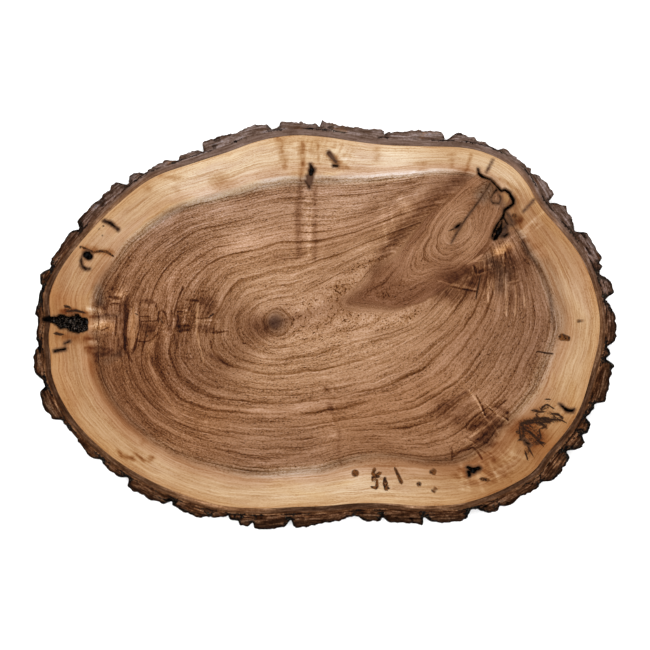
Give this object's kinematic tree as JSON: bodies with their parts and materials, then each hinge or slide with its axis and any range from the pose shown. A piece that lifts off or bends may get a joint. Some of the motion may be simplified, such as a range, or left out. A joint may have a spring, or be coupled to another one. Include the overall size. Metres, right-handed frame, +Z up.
{
  "type": "wood slice",
  "caption": "Oval cross-cut slice of a walnut trunk with its bark on, sawn flat on both faces, with a branch knot, cracks and bark pockets; used as a board, stand or base.",
  "frame": {"origin": "middle of the slice's box, on its lower sawn face", "axes": "+Z up out of the upper sawn face, +X along the slice's long way towards the side with the branch knot, +Y along its short way"},
  "size_m": [0.4492, 0.315, 0.028],
  "materials": {
    "wood": "satin",
    "bark": "rough"
  },
  "bodies": {
    "root": {"wood": "wood", "bark": "bark"}
  },
  "joints": []
}
